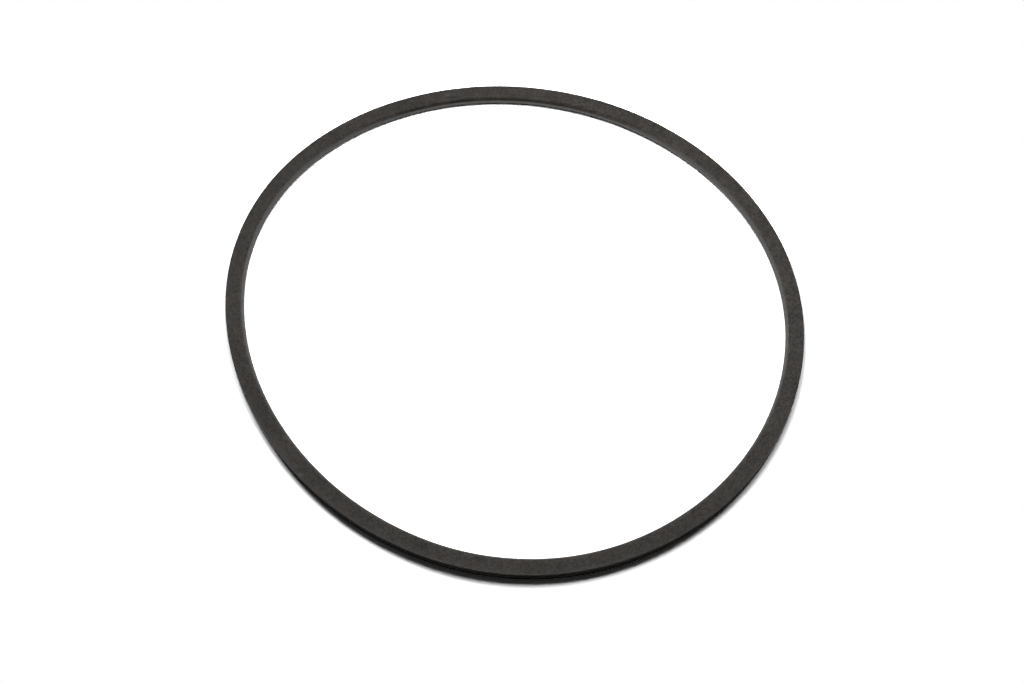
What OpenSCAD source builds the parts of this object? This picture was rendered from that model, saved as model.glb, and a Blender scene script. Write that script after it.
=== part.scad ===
// A moulded rubber sealing ring with a D-shaped section: a flat back all round the
// outside, two flat sides, and a full round nose on the inside. It lies relaxed on one
// of its flat sides, so its outline is a little out of round.

/* [Ring] */
// Mean diameter over the flat back, which is the ring's diameter in a round groove
outside_d = 200; // [120:1:320]

/* [Section] */
// Depth of the section, from the flat back in to the tip of the nose
section_depth = 6.4; // [5:0.1:10]
// Height of the section, between the two flat sides
section_height = 3.4; // [2:0.1:4.6]
// Radius of the two moulded corners of the flat back
corner_r = 0.15; // [0.05:0.01:0.4]

/* [Relaxed shape] */
// How far the two-lobed oval stands out and in from the mean round line
oval_out = 3.1; // [0:0.1:5]
// Direction of the oval's long axis
oval_dir = -38; // [-90:1:90]
// How far the three-lobed part of the outline stands out and in
three_lobe_out = 0.93; // [0:0.01:1.5]
// Direction of one of the three lobes
three_lobe_dir = 30; // [-60:1:60]
// How far the four-lobed part of the outline stands out and in
four_lobe_out = 0.2; // [0:0.01:0.5]
// Direction of one of the four lobes
four_lobe_dir = -7; // [-45:1:45]

/* [Hidden] */

// The outline is a chain of tangent arcs that all turn by the same angle. The first
// arc starts at the ring's +X side, and a multiple of four arcs puts the ends of both
// axes of its box on joints between arcs.
arcs = 16;
arc_turn = 360 / arcs;
// Each arc turns this many degrees past its end, about 0.00002 mm, so that neighbours
// in a mesh of the ring overlap where they would only touch.
past_end = 0.00001;
fragments = 360;

nose_r = section_height / 2;
flat_depth = section_depth - nose_r;

// Radius of arc i. A lobe of order n that stands out by some amount changes the radius
// of curvature by (1 - n * n) times that amount. Such terms turn a closed chain into a
// closed chain. One arc levels a lobe over its whole turn, which flattens it by the
// share in levelled(n), so the amount is divided by that share.
function levelled(n) = sin(n * arc_turn / 2) / (n * arc_turn / 2 * PI / 180);
function lobe(i, n, out, dir) =
    (1 - n * n) * out / levelled(n) * cos(n * ((i + 0.5) * arc_turn - dir));
function arc_r(i) = outside_d / 2
    + lobe(i, 2, oval_out, oval_dir)
    + lobe(i, 3, three_lobe_out, three_lobe_dir)
    + lobe(i, 4, four_lobe_out, four_lobe_dir);

// Centre of arc i. Each arc shares its end point and its tangent with the next one.
function toward(a) = [cos(a), sin(a)];
function arc_centre(i) = i == 0
    ? [0, 0]
    : arc_centre(i - 1) + (arc_r(i - 1) - arc_r(i)) * toward(i * arc_turn);

// Where the outline starts arc i, and the middle of the outline's box
function arc_start(i) = arc_centre(i) + arc_r(i) * toward(i * arc_turn);
middle = [
    (arc_start(0)[0] + arc_start(arcs / 2)[0]) / 2,
    (arc_start(arcs / 4)[1] + arc_start(arcs * 3 / 4)[1]) / 2,
];

// The D section, with the flat back on x = 0 and the nose towards -x. The back's two
// corners are small enough to be rounded by three short flats each.
module d_section() {
    translate([-flat_depth, nose_r])
        circle(r = nose_r, $fn = 48);
    translate([-flat_depth, 0])
        square([flat_depth - corner_r, section_height]);
    translate([-2 * corner_r, corner_r])
        square([2 * corner_r, section_height - 2 * corner_r]);
    for (z = [corner_r, section_height - corner_r])
        translate([-corner_r, z])
            circle(r = corner_r, $fn = 12);
}

// Moves its children by v in three steps: whole millimetres, thousandths and the rest.
// Each step has few digits, so none is lost to rounding, and neighbouring arcs meet
// without a gap.
module exactly(v) {
    whole = [for (x = v) round(x)];
    thousandths = [for (x = v - whole) round(1000 * x) / 1000];
    translate(whole)
        translate(thousandths)
            translate(v - whole - thousandths)
                children();
}

// The section swept along arc i
module swept_arc(i) {
    exactly(arc_centre(i) - middle)
        rotate_extrude(angle = arc_turn + past_end, start = i * arc_turn, $fn = fragments)
            exactly([arc_r(i), 0])
                d_section();
}

module seal_ring() {
    color([0.13, 0.125, 0.12])
        for (i = [0:arcs - 1])
            swept_arc(i);
}

seal_ring();
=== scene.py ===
# %% [markdown]
# # A rubber D-ring seal on a white table
#
# The object is one moulded rubber ring. Its section is a D: a flat back outside, two flat
# sides and a full round nose inside. It lies relaxed on a white table under three soft
# boxes. This lesson builds the ring as a surface worked out with numpy, gives it a worn
# matte rubber, and then sets up the table, the light and the camera.

# %% Load the fixed frame
import math

import bpy
import numpy as np
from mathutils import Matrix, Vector


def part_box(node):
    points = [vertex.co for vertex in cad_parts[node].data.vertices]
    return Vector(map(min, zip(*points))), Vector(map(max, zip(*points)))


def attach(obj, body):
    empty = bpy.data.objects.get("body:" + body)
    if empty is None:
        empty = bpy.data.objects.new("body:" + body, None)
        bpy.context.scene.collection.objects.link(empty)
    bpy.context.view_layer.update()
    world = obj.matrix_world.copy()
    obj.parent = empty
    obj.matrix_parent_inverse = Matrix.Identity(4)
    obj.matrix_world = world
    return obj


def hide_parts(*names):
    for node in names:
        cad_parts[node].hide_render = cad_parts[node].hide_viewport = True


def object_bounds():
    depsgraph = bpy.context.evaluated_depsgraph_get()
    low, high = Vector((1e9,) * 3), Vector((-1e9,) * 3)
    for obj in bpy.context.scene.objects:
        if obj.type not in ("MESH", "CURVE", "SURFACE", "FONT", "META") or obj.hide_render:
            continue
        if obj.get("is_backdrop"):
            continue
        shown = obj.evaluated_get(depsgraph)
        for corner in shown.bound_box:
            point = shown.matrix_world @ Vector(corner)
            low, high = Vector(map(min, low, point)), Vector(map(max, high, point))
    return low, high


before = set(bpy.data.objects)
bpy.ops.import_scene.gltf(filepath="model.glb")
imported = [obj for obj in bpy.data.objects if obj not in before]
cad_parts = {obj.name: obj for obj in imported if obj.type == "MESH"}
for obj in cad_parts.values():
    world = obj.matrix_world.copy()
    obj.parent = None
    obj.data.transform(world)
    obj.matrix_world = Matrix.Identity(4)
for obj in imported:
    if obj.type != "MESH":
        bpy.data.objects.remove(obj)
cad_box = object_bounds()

MM = 0.001
low_corner, high_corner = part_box("seal_ring")
HEIGHT = high_corner[2] - low_corner[2]
print("Height of the section in mm:", round(HEIGHT / MM, 3))

# %% [markdown]
# ## The line of the flat back
#
# A relaxed ring isn't quite round. A spline through points would do, but its width would
# drift between them. Here the line is a chain of tangent arcs that all turn by the same
# angle, and the radius of each follows a few slow waves. The chain closes by itself. A
# line further in has the same centres and smaller radii, so every line along the ring
# keeps its exact distance from the back.

# %% The chain of arcs
ARCS = 16
ARC_TURN = 2 * np.pi / ARCS
MEAN_RADIUS = 100 * MM
# The lobes of each wave, how far they stand out, and the direction of one of them
WAVES = ((2, 3.1 * MM, -38), (3, 0.93 * MM, 30), (4, 0.2 * MM, -7))
# Lets an angle on a joint count as the arc that starts there, whatever the rounding
ROUNDING = 1e-9


def toward(turn):
    """The unit vector that points outwards at each angle."""
    return np.stack([np.cos(turn), np.sin(turn)], -1)


def arc_radii():
    """Radius of each arc: the mean radius, plus (1 - n * n) times the stand-out of each
    wave of n lobes at the middle of the arc. One arc levels a wave over its whole turn,
    so the stand-out is divided by the share of the wave that is left."""
    middle = (np.arange(ARCS) + 0.5) * ARC_TURN
    radii = np.full(ARCS, MEAN_RADIUS)
    for lobes, out, direction in WAVES:
        half = lobes * ARC_TURN / 2
        out_of_arc = out / (np.sin(half) / half)
        radii += (1 - lobes**2) * out_of_arc * np.cos(lobes * (middle - np.radians(direction)))
    return radii


def arc_centres(radii):
    """Centre of each arc: the centre before it, moved along the radius that the two arcs
    share by the difference of their radii. The chain is then centred on its box."""
    shared = toward(np.arange(ARCS) * ARC_TURN)
    moves = (radii[:-1] - radii[1:])[:, None] * shared[1:]
    centres = np.vstack([np.zeros((1, 2)), np.cumsum(moves, axis=0)])
    starts = centres + radii[:, None] * shared
    right, back, left, front = starts[:: ARCS // 4]
    return centres - [(right[0] + left[0]) / 2, (back[1] + front[1]) / 2]


RADII = arc_radii()
CENTRES = arc_centres(RADII)


def line_at(turn, depth):
    """Points at each angle round the ring and each depth in from the flat back: the
    centre of the arc that holds the angle, plus its radius less the depth, outwards."""
    arc = np.floor(turn / ARC_TURN + ROUNDING).astype(int) % ARCS
    return CENTRES[arc] + (RADII[arc] - depth)[..., None] * toward(turn)


print("Radii of the arcs in mm:", np.round(RADII / MM, 1))

# %% [markdown]
# ## The D section
#
# The section is one closed walk: up the flat back, round its upper corner, in over the
# upper side, round the nose, and out again along the underside. Bevelled boxes and
# circles would need a cut and a join. A walk made of named stretches needs neither, and
# it says how many points each stretch gets. The flats have more points towards their
# ends, so that smooth shading turns only where the real surface turns.

# %% The walk round the section
DEPTH = 6.4 * MM
CORNER = 0.15 * MM
NOSE = HEIGHT / 2
# How many points each stretch has
CORNER_POINTS = 6
BACK_POINTS = 8
UPPER_POINTS = 14
NOSE_POINTS = 22
UNDER_POINTS = 8


def straight(start, end, count):
    """A straight stretch as rows of depth and height, without its last point. Its points
    follow a cosine, which crowds them towards both ends."""
    share = (1 - np.cos(np.pi * np.arange(count) / count))[:, None] / 2
    return (1 - share) * np.array(start) + share * np.array(end)


def bend(centre, radius, first, last, count):
    """A round stretch, without its last point. Its angle is counted in degrees from
    outwards, over the upper side, to inwards."""
    angle = np.radians(np.linspace(first, last, count, endpoint=False))
    return np.array(centre) + radius * np.stack([-np.cos(angle), np.sin(angle)], -1)


walk = np.vstack([
    bend((CORNER, CORNER), CORNER, -90, 0, CORNER_POINTS),
    straight((0, CORNER), (0, HEIGHT - CORNER), BACK_POINTS),
    bend((CORNER, HEIGHT - CORNER), CORNER, 0, 90, CORNER_POINTS),
    straight((CORNER, HEIGHT), (DEPTH - NOSE, HEIGHT), UPPER_POINTS),
    bend((DEPTH - NOSE, NOSE), NOSE, 90, 270, NOSE_POINTS),
    straight((DEPTH - NOSE, 0), (CORNER, 0), UNDER_POINTS),
])
walked = np.linalg.norm(np.roll(walk, -1, axis=0) - walk, axis=1)
GIRTH = walked.sum()
walk_share = np.append(0, np.cumsum(walked)) / GIRTH
print("Points of the section:", len(walk), "  girth in mm:", round(GIRTH / MM, 2))

# %% [markdown]
# ## The surface of the ring
#
# The section is carried round the line, one column of points for each step of the turn. A
# curve with a bevel profile could do that too, but here each column may differ a little,
# as on real moulded rubber. The upper side has a faint swell, the upper corner of the
# back is rubbed rounder in some stretches than in others, and a fine seam runs round the
# nose, where the two halves of the mould met.

# %% Small irregularities
COLUMNS = 1440
SWELL = 0.02 * MM
RUBBED = 0.02 * MM
RUBBED_REACH = 0.15 * MM
SEAM_OUT = 0.012 * MM
SEAM_WIDTH = 0.08 * MM
SEAM_VARIES = 0.4
column_turn = np.arange(COLUMNS) * 2 * np.pi / COLUMNS


def ripple(lobes, seed):
    """A closed wave round the ring, mostly between -1 and 1: cosines with these numbers
    of lobes, each at its own phase from the seed, over the root of their count."""
    phase = np.random.default_rng(seed).uniform(0, 2 * np.pi, len(lobes))
    waves = np.cos(np.outer(column_turn, lobes) + phase)
    return waves.sum(axis=1)[:, None] / np.sqrt(len(lobes))


def ring_points():
    """A grid of points, columns along the ring by points of the walk. The walk is the
    same in every column, plus the swell over the upper half, the rubbed corner and the
    seam, each of which fades away from its own place."""
    depth = np.repeat(walk[None, :, 0], COLUMNS, axis=0)
    height = np.repeat(walk[None, :, 1], COLUMNS, axis=0)

    upper = np.clip(2 * height / HEIGHT - 1, 0, 1) ** 2
    swell = SWELL * ripple(lobes=[7, 11, 16, 23, 31], seed=3) * upper

    corner = np.exp(-(depth**2 + (HEIGHT - height) ** 2) / RUBBED_REACH**2)
    rubbing = np.clip(ripple(lobes=[3, 5, 17, 41, 67, 90], seed=8), 0, None)
    rubbed = RUBBED * rubbing * corner

    seam = np.exp(-(((height - NOSE) / SEAM_WIDTH) ** 2)) * (depth > DEPTH / 2)
    seam = SEAM_OUT * (1 + SEAM_VARIES * ripple(lobes=[13, 29, 57], seed=5)) * seam

    depth = depth + rubbed + seam
    height = height + swell - rubbed
    flat = line_at(np.repeat(column_turn[:, None], len(walk), axis=1), depth)
    return np.concatenate([flat, height[..., None]], axis=-1)


points = ring_points()
heights = points[..., 2] / MM
print("Lowest and highest point in mm:", np.round(heights.min(), 3), np.round(heights.max(), 3))


# %% Make the mesh
def closed_mesh(name, points):
    """A mesh from a grid that is closed both ways. Each face joins a point with its
    neighbours along the ring and round the section. The map runs from 0 to 1 along the
    ring and from 0 to 1 round the section."""
    columns, rows = points.shape[:2]
    column, row = np.meshgrid(np.arange(columns), np.arange(rows), indexing="ij")
    next_column, next_row = (column + 1) % columns, (row + 1) % rows
    faces = np.stack([
        column * rows + row,
        next_column * rows + row,
        next_column * rows + next_row,
        column * rows + next_row,
    ], -1)
    along = np.stack([column, column + 1, column + 1, column], -1) / columns
    around = walk_share[np.stack([row, row, row + 1, row + 1], -1)]

    mesh = bpy.data.meshes.new(name)
    mesh.vertices.add(columns * rows)
    mesh.vertices.foreach_set("co", points.ravel())
    mesh.loops.add(faces.size)
    mesh.loops.foreach_set("vertex_index", faces.ravel())
    mesh.polygons.add(columns * rows)
    mesh.polygons.foreach_set("loop_start", np.arange(0, faces.size, 4))
    mesh.polygons.foreach_set("use_smooth", np.ones(columns * rows, bool))
    mesh.uv_layers.new(name="ring").data.foreach_set("uv", np.stack([along, around], -1).ravel())
    mesh.update(calc_edges=True)
    return mesh


def signed_volume(points):
    """Volume of a closed grid, positive when its faces point outwards: a third of the sum
    of each face's middle times the cross product of its diagonals over two."""
    ahead = np.roll(points, -1, axis=0)
    above = np.roll(points, -1, axis=1)
    across = np.roll(ahead, -1, axis=1)
    middle = (points + ahead + above + across) / 4
    return (middle * np.cross(across - points, above - ahead)).sum() / 6


seal = bpy.data.objects.new("seal", closed_mesh("seal", points))
bpy.context.scene.collection.objects.link(seal)
print("Faces of the ring:", len(seal.data.polygons), "  mended by validate:", seal.data.validate())
print("Signed volume in cubic mm:", round(signed_volume(points) / MM**3, 1))

# %% [markdown]
# ## Shader maths
#
# A material is a tree of nodes, which is long to write and hard to read. One small class
# wraps a socket instead. Plus, minus and times on it add Math nodes, and one method adds
# any other node: first its settings, then the values or wires of its sockets.


# %% A wire in a material
class Wire:
    """One output socket of a node in a material, or the bare tree to start from."""

    def __init__(self, tree, socket=None):
        self.tree = tree
        self.socket = socket

    def node(self, kind, settings=None, values=None, output=0):
        """Add a node of this kind, and return the wire of one of its outputs."""
        made = self.tree.nodes.new(kind)
        for name, setting in (settings or {}).items():
            setattr(made, name, setting)
        for name, value in (values or {}).items():
            if isinstance(value, Wire):
                self.tree.links.new(value.socket, made.inputs[name])
            else:
                made.inputs[name].default_value = value
        return Wire(self.tree, made.outputs[output] if made.outputs else None)

    def math(self, operation, first, second=0):
        """Add a Math node for this operation on two values or wires."""
        return self.node("ShaderNodeMath", {"operation": operation}, {0: first, 1: second})

    def __add__(self, other):
        return self.math("ADD", self, other)

    def __sub__(self, other):
        return self.math("SUBTRACT", self, other)

    def __rsub__(self, other):
        return self.math("SUBTRACT", other, self)

    def __mul__(self, other):
        return self.math("MULTIPLY", self, other)

    __radd__ = __add__
    __rmul__ = __mul__

    def rise(self, low, high):
        """0 up to low, 1 from high on, and a smooth rise between them."""
        values = {"Value": self, "From Min": low, "From Max": high}
        return self.node("ShaderNodeMapRange", {"interpolation_type": "SMOOTHSTEP"}, values)

    def near(self, value, reach):
        """1 where this wire has the value, and 0 from the reach away from it."""
        return 1 - self.math("ABSOLUTE", self - value).rise(0, reach)

    def noise(self, size, detail=2, roughness=0.5):
        """Smooth noise, about 0.5 on average, on these coordinates in metres."""
        values = {"Vector": self, "Scale": 1 / size, "Detail": detail, "Roughness": roughness}
        return self.node("ShaderNodeTexNoise", {}, values)

    def blend(self, first, second, share, kind="MIX"):
        """The first colour where the share is 0, and where it is 1 the second, or what
        another kind of blending makes of both. Sockets 6 and 7 of the Mix node are for
        colours, and so is its output 2."""
        settings = {"data_type": "RGBA", "blend_type": kind}
        return self.node("ShaderNodeMix", settings, {0: share, 6: first, 7: second}, 2)


def new_material(name):
    """An empty material, and the wire to start it from."""
    material = bpy.data.materials.new(name)
    material.use_nodes = True
    material.node_tree.nodes.clear()
    return material, Wire(material.node_tree)


# %% [markdown]
# ## The rubber
#
# The rubber is a dark, slightly warm grey with carbon black in it, and matte: it spreads
# light over a wide lobe. A picture or a wave texture would repeat on such a long thin
# thing, so the detail is noise on the object's own coordinates, which have no seam. From
# large to small there are clouds and patches where handling has dulled the skin, streaks
# along the ring from the mould, a grain with flecks a little warmer or cooler than the
# rest, and a few specks of dust.
#
# Some places differ from the rest. The outer upper edge is rubbed paler here and there,
# and the upper side next to it is worn paler towards the front left. The top of the flat
# back is painted darker, as painted shade, and it is smoother. The underside of the nose
# is painted darker too, as painted shade. A stretch at the back left is a little darker.
# These places could be painted by hand, but a mask follows the shape by itself: a soft
# step on how far round the section or across the table a point lies. Three small scuffs
# are worn ovals.

# %% Coordinates on the rubber
rubber, bare = new_material("matte_rubber")
place = bare.node("ShaderNodeTexCoord", output="Object")
ring_map = bare.node("ShaderNodeUVMap", {"uv_map": "ring"})
around = bare.node("ShaderNodeSeparateXYZ", {}, {0: ring_map}, "Y") * GIRTH

# Coordinates that hardly change along the ring, and change fast round the section
STRETCH = 0.03
place_x = bare.node("ShaderNodeSeparateXYZ", {}, {0: place}, "X")
place_y = bare.node("ShaderNodeSeparateXYZ", {}, {0: place}, "Y")
squeezed = {0: place_x * STRETCH, 1: place_y * STRETCH, 2: around}
grooved = bare.node("ShaderNodeCombineXYZ", {}, squeezed)
print("A streak is about", round(1 / STRETCH), "times as long as it is wide")

# %% Clouds, streaks, grain and dust
GRAIN_SIZE = 0.45 * MM
DUST_SIZE = 0.3 * MM
MEAN = 0.5
clouds = place.noise(9 * MM, 3)
patches = place.noise(2.2 * MM, 2)
streaks = grooved.noise(0.5 * MM, 2)
grain = place.noise(GRAIN_SIZE, 2, 0.6)
# Read somewhere else in the noise, so that flecks and grain don't coincide
elsewhere = place.node("ShaderNodeVectorMath", {"operation": "ADD"}, {0: place, 1: (0.5, 0.2, 0.1)})
flecks = elsewhere.noise(GRAIN_SIZE, 1)
dust = place.noise(DUST_SIZE, 1).rise(0.78, 0.84)
tone = (
    0.45 * (clouds - MEAN)
    + 0.35 * (patches - MEAN)
    + 0.15 * (streaks - MEAN)
    + 3.4 * (grain - MEAN)
)
print("Grain in mm:", round(GRAIN_SIZE / MM, 2), "  dust in mm:", round(DUST_SIZE / MM, 2))

# %% Places round the section
walk_at = walk_share * GIRTH
corner_point = CORNER_POINTS + BACK_POINTS + CORNER_POINTS // 2
tip_point = 2 * CORNER_POINTS + BACK_POINTS + UPPER_POINTS + NOSE_POINTS // 2
# Just past the middle of the upper corner of the back, and the tip of the nose
CORNER_AT = (walk_at[corner_point] + walk_at[corner_point + 1]) / 2
TIP_AT = walk_at[tip_point]
# The upper side begins just past the corner, the painted shade on the top of the back
# builds up over the 1.7 mm below it, and the painted shade under the nose sets in at the tip
upper = around.rise(CORNER_AT + 0.1 * MM, CORNER_AT + 0.18 * MM)
# Painted shade: the top of the flat back is painted darker
painted_shade_on_back = (1 - upper) * around.rise(CORNER_AT - 1.7 * MM, CORNER_AT - 0.1 * MM)
# Painted shade: the underside of the nose is painted darker
painted_shade_under_nose = around.rise(TIP_AT - 0.2 * MM, TIP_AT + 0.6 * MM)
print("Corner and tip in mm along the walk:", round(CORNER_AT / MM, 2), round(TIP_AT / MM, 2))

# %% Rubbed edge and worn rim
RUB_REACH = 0.45 * MM
RIM_REACH = 0.8 * MM
SIDE_REACH = 2.4 * MM
# Directions from the middle of the ring, in degrees
WORN_TOWARDS = 245
DARKER_TOWARDS = 138


def towards(turn):
    """How far a place lies from the middle in this direction, in metres."""
    x, y = toward(math.radians(turn))
    return place_x * x + place_y * y


rubbed = around.near(CORNER_AT, RUB_REACH) * place.noise(6 * MM, 3).rise(0.45, 0.7)
worn_side = towards(WORN_TOWARDS).rise(40 * MM, 95 * MM)
rim = 0.22 * around.near(CORNER_AT, RIM_REACH) + 0.18 * around.near(CORNER_AT, SIDE_REACH)
worn_rim = upper * worn_side * rim
# A stretch towards the back left is a little darker
darker_stretch = towards(DARKER_TOWARDS).rise(70 * MM, 98 * MM)
print("The rim is worn towards", WORN_TOWARDS, "degrees and dull towards", DARKER_TOWARDS)


# %% Scuffs
def scuff(turn, depth, length, width):
    """A worn oval on the upper side, at an angle in degrees round the ring and a depth in
    from the back: 1 in its middle and 0 from its rim on. A Mapping node moves it to the
    origin, turns it straight, and scales it to a unit ball."""
    x, y = line_at(np.radians(np.array([turn])), np.array([depth]))[0]
    values = {
        "Vector": place,
        "Location": (x, y, HEIGHT),
        "Rotation": (0, 0, math.radians(turn + 90)),
        "Scale": (length / 2, width / 2, width / 2),
    }
    unit = place.node("ShaderNodeMapping", {"vector_type": "TEXTURE"}, values)
    away = place.node("ShaderNodeVectorMath", {"operation": "LENGTH"}, {0: unit}, "Value")
    return 1 - away.rise(0.2, 1)


frayed = 0.5 + 0.5 * place.noise(0.5 * MM, 2).rise(0.3, 0.7)
back_scuff = scuff(turn=100.6, depth=2.5 * MM, length=3.2 * MM, width=2.4 * MM)
nose_scuff = scuff(turn=58, depth=3.6 * MM, length=2.4 * MM, width=1.2 * MM)
edge_scuff = scuff(turn=222.5, depth=0.8 * MM, length=1.6 * MM, width=2.4 * MM)
scuffs = back_scuff * frayed + 0.6 * nose_scuff * frayed + 1.1 * edge_scuff
print("Nodes so far:", len(rubber.node_tree.nodes))

# %% The rubber's shader
DARK = (0.0079, 0.007, 0.006, 1)
LIGHT = (0.058, 0.0517, 0.045, 1)
WARM = (1.3, 1, 0.72, 1)
COOL = (0.76, 1, 1.25, 1)
WORN = (0.085, 0.078, 0.072, 1)
DUSTY = (0.16, 0.15, 0.14, 1)

SHINE = 0.85
ROUGH = 0.3
BUMP_HEIGHT = 0.05 * MM
skin = bare.blend(DARK, LIGHT, (tone + MEAN).rise(0, 1))
hue = bare.blend(COOL, WARM, flecks.rise(0.3, 0.7))
skin = bare.blend(skin, hue, 1, "MULTIPLY")
# Painted shade: the top of the back and the underside of the nose are painted darker. A stretch
# towards the back left is a little darker too.
skin = bare.blend(skin, DARK, 0.2 * darker_stretch + 0.85 * painted_shade_on_back + 0.8 * painted_shade_under_nose)
skin = bare.blend(skin, WORN, 0.2 * upper * rubbed + worn_rim + 0.8 * scuffs)
skin = bare.blend(skin, DUSTY, 0.5 * dust)
roughness = ROUGH + 0.12 * (clouds - MEAN) + 0.1 * scuffs - 0.12 * painted_shade_on_back
relief = 0.6 * grain + 0.3 * patches + 0.1 * streaks
bump = {"Strength": 0.6, "Distance": BUMP_HEIGHT, "Height": relief}
bumped = bare.node("ShaderNodeBump", {}, bump)
shader = bare.node("ShaderNodeBsdfPrincipled", {}, {
    "Base Color": skin,
    "Roughness": roughness,
    "IOR": 1.5,
    "Specular IOR Level": SHINE,
    "Normal": bumped,
})
bare.node("ShaderNodeOutputMaterial", {}, {"Surface": shader})
seal.data.materials.append(rubber)
print("Nodes in the rubber:", len(rubber.node_tree.nodes))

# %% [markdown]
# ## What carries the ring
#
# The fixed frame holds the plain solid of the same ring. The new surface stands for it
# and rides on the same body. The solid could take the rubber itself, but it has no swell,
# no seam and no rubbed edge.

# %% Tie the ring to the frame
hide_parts("seal_ring")
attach(seal, "root")
print(seal.name, "stands for the node seal_ring and rides on the body root")

# %% [markdown]
# ## The table
#
# The table is white and lit evenly. Raising the light until it clips would bleach the
# rubber too. So the table's colour is over white for what the camera sees, white for what
# the rubber's sheen mirrors, and a usual pale grey for the light that it sends back to the
# ring. Its shadows stay. Away from the ring the table glows at plain white for the camera
# and in mirrors, so that it is even up to the edges of the view.

# %% A large white plane
TABLE_SIDE = 8
# A hair under the ring, so that the two surfaces don't share a plane
TABLE_AT = -0.01 * MM
side = TABLE_SIDE / 2
square = [(-side, -side, 0), (side, -side, 0), (side, side, 0), (-side, side, 0)]
table_mesh = bpy.data.meshes.new("table")
table_mesh.from_pydata(square, [], [(0, 1, 2, 3)])
table = bpy.data.objects.new("table", table_mesh)
table.location.z = TABLE_AT
bpy.context.scene.collection.objects.link(table)
table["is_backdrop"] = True
print("Table in metres:", TABLE_SIDE, "by", TABLE_SIDE)

# %% The table's white
TABLE_SEEN = 2.6
TABLE_MIRRORED = 1
TABLE_SENT = 0.8
# Distances from the middle between which the glow comes in, in metres
GLOW_FROM = 0.115
GLOW_FULL = 0.16


def seen(bare):
    """Two wires: 1 for what the camera sees directly, and 1 for what it sees in a mirror
    or through glass. Light that a matte surface has scattered before counts as neither."""
    camera = bare.node("ShaderNodeLightPath", output="Is Camera Ray")
    glossy = bare.node("ShaderNodeLightPath", output="Is Glossy Ray")
    through = bare.node("ShaderNodeLightPath", output="Is Transmission Ray")
    scattered = bare.node("ShaderNodeLightPath", output="Diffuse Depth")
    mirrored = glossy.math("MAXIMUM", glossy, through) * (1 - scattered.rise(0, 1))
    return camera, mirrored


white, bare = new_material("white_table")
direct, mirrored = seen(bare)
level = TABLE_SENT + (TABLE_SEEN - TABLE_SENT) * direct + (TABLE_MIRRORED - TABLE_SENT) * mirrored
colour = level.node("ShaderNodeCombineColor", {}, {0: level, 1: level, 2: level})
matte = colour.node("ShaderNodeBsdfDiffuse", {}, {"Color": colour})
glow = bare.node("ShaderNodeEmission", {}, {"Color": (1, 1, 1, 1), "Strength": 1})
spot = bare.node("ShaderNodeTexCoord", output="Object")
from_middle = bare.node("ShaderNodeVectorMath", {"operation": "LENGTH"}, {0: spot}, "Value")
outside = (direct + mirrored) * from_middle.rise(GLOW_FROM, GLOW_FULL)
surface = bare.node("ShaderNodeMixShader", {}, {0: outside, 1: matte, 2: glow})
bare.node("ShaderNodeOutputMaterial", {}, {"Surface": surface})
table_mesh.materials.append(white)
print("Table to the camera, to mirrors and to the ring:", TABLE_SEEN, TABLE_MIRRORED, TABLE_SENT)

# %% [markdown]
# ## Light
#
# Three soft boxes stand over the table: one nearly above the ring and a little behind it,
# one at the right, and one far off at the left. Their levels add up to about 1, so that a
# colour renders about as it is written. One large box would blur every shadow alike. The
# two small ones close by give the short shadows in front of the ring and inside its back.
#
# In the sheen of the rubber, small boxes would show as hot spots. So they are hidden from
# mirror rays, and the sheen comes from the world: white at both sides, grey behind the
# ring and dark in front of it, as in a white tent that is open where the camera stands.
# The world hardly lights matte surfaces, and the camera sees it as plain white.

# %% Three soft boxes
def softbox(name, at, wide, level):
    """A square lamp aimed at the middle of the ring. Its power in watts is pi squared times
    its distance squared over the cosine of its slant, times its level: the brightness that
    it alone gives a white floor under the middle of the ring."""
    at = Vector(at)
    lamp = bpy.data.lights.new(name, "AREA")
    lamp.shape = "SQUARE"
    lamp.size = wide
    lamp.energy = level * math.pi**2 * at.length**3 / at.z
    holder = bpy.data.objects.new(name, lamp)
    holder.location = at
    holder.visible_glossy = False
    holder.visible_camera = False
    holder.rotation_euler = at.to_track_quat("Z", "Y").to_euler()
    bpy.context.scene.collection.objects.link(holder)
    print(name, "power in watts:", round(lamp.energy, 2))


softbox("top_box", at=(0, 0.075, 0.25), wide=0.12, level=0.52)
softbox("right_box", at=(0.145, 0.11, 0.25), wide=0.12, level=0.21)
softbox("left_box", at=(-0.3, 0.42, 0.42), wide=0.20, level=0.29)

# %% World
WORLD_LEVEL = 0.008
BACK_LEVEL = 0.31
SIDES_LEVEL = 1
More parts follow.
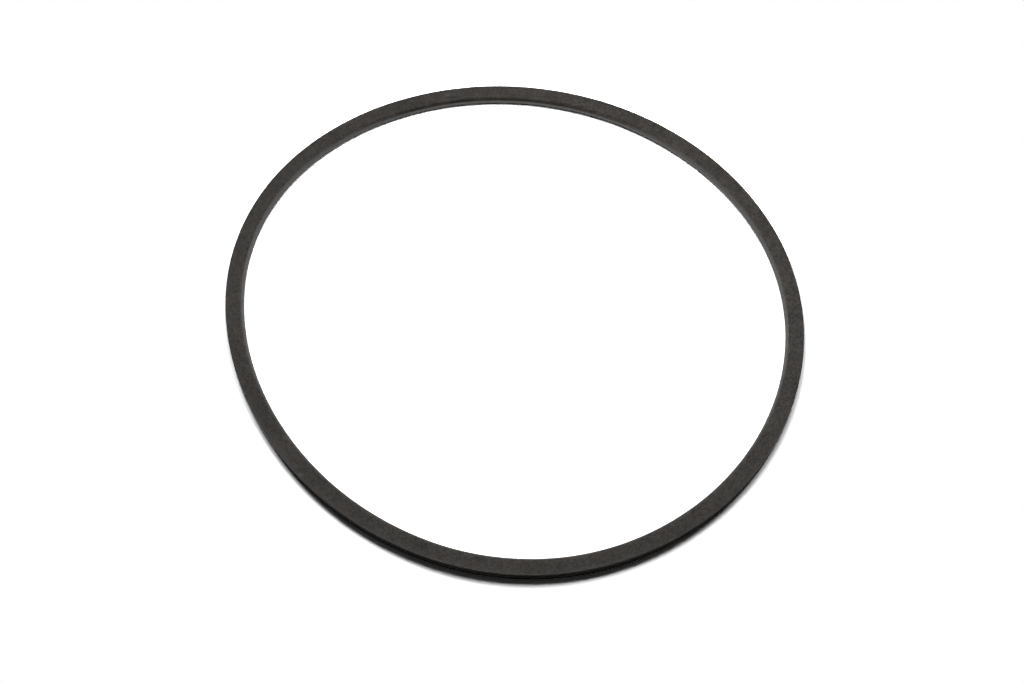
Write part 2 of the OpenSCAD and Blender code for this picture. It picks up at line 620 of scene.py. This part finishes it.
# How far a direction points sideways, or backwards, where each part of the tent begins
# and where it is full
SIDES_FROM = 0.4
SIDES_FULL = 0.75
BACK_FROM = -0.3
BACK_FULL = 0.4
world = bpy.data.worlds.new("studio")
world.use_nodes = True
world.node_tree.nodes.clear()
bare = Wire(world.node_tree)
direction = bare.node("ShaderNodeTexCoord", output="Generated")
across = bare.node("ShaderNodeSeparateXYZ", {}, {0: direction}, "X")
away = bare.node("ShaderNodeSeparateXYZ", {}, {0: direction}, "Y")
sides = across.math("ABSOLUTE", across).rise(SIDES_FROM, SIDES_FULL)
behind = away.rise(BACK_FROM, BACK_FULL)
direct, mirrored = seen(bare)
strength = WORLD_LEVEL + direct + mirrored * (BACK_LEVEL * behind + SIDES_LEVEL * sides)
glow = bare.node("ShaderNodeBackground", {}, {"Color": (1, 1, 1, 1), "Strength": strength})
glow.node("ShaderNodeOutputWorld", {}, {"Surface": glow})
bpy.context.scene.world = world
print("In mirrors the world is", SIDES_LEVEL, "at the sides and", BACK_LEVEL, "behind the ring")

# %% [markdown]
# ## Camera
#
# The camera stands in front of the ring and looks down at it steeply, from about six
# times the ring's radius. A short telephoto lens keeps the ring's shape calm. A wide lens
# close by would take in as much, but it would make the front of the ring look larger.

# %% Camera
CAMERA_AT = Vector((0, -0.32807, 0.5384))
CAMERA_TO = Vector((-0.00043, -0.01035, 0))
camera_data = bpy.data.cameras.new("camera")
camera_data.sensor_width = 36
camera_data.lens = 63.3
camera_data.clip_start = 0.01
camera_data.clip_end = 50
camera = bpy.data.objects.new("camera", camera_data)
camera.location = CAMERA_AT
camera.rotation_euler = (CAMERA_TO - CAMERA_AT).to_track_quat("-Z", "Y").to_euler()
bpy.context.scene.collection.objects.link(camera)
bpy.context.scene.camera = camera
bpy.context.scene.view_settings.view_transform = "Standard"
print("Camera to target in mm:", round((CAMERA_TO - CAMERA_AT).length / MM))

# %% Compare the boxes
new_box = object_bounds()
print("CAD box and new box in mm:")
for corners in (cad_box, new_box):
    print([[round(float(x) / MM, 2) for x in corner] for corner in corners])
